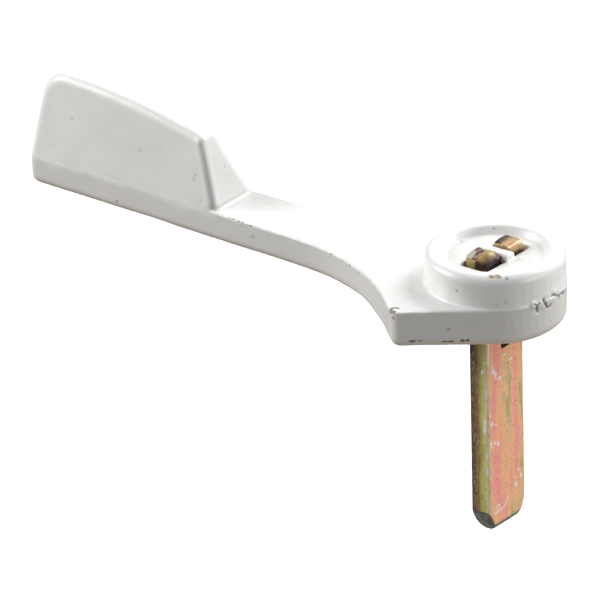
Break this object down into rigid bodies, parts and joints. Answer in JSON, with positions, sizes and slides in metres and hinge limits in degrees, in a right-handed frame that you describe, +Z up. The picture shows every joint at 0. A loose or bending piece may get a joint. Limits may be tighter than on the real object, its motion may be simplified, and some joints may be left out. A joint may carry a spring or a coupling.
{
  "type": "sliding door latch lever",
  "caption": "Die-cast latch lever with a round hub, flared arm and upright finger tab, and a flat steel tailpiece staked into the hub.",
  "frame": {"origin": "where the spindle axis meets the hub's underside, which seats on the door handle's face", "axes": "+Z up through the hub, away from the door; the arm runs along -X; the tailpiece's wide faces look along X"},
  "size_m": [0.0859, 0.0312, 0.0486],
  "materials": {
    "white_paint": "satin white enamel over zinc die casting, with small chips",
    "yellow_plated_steel": "yellow chromate over zinc plate, iridescent, worn at the bevelled tip"
  },
  "bodies": {
    "lever": {"lever_casting": "white_paint"},
    "tailpiece": {"tailpiece": "yellow_plated_steel"}
  },
  "joints": [
    {"name": "tailpiece_float", "type": "slide", "parent": "lever", "child": "tailpiece", "axis": [0, 0, 1], "range_m": [0, 0.0038]}
  ]
}
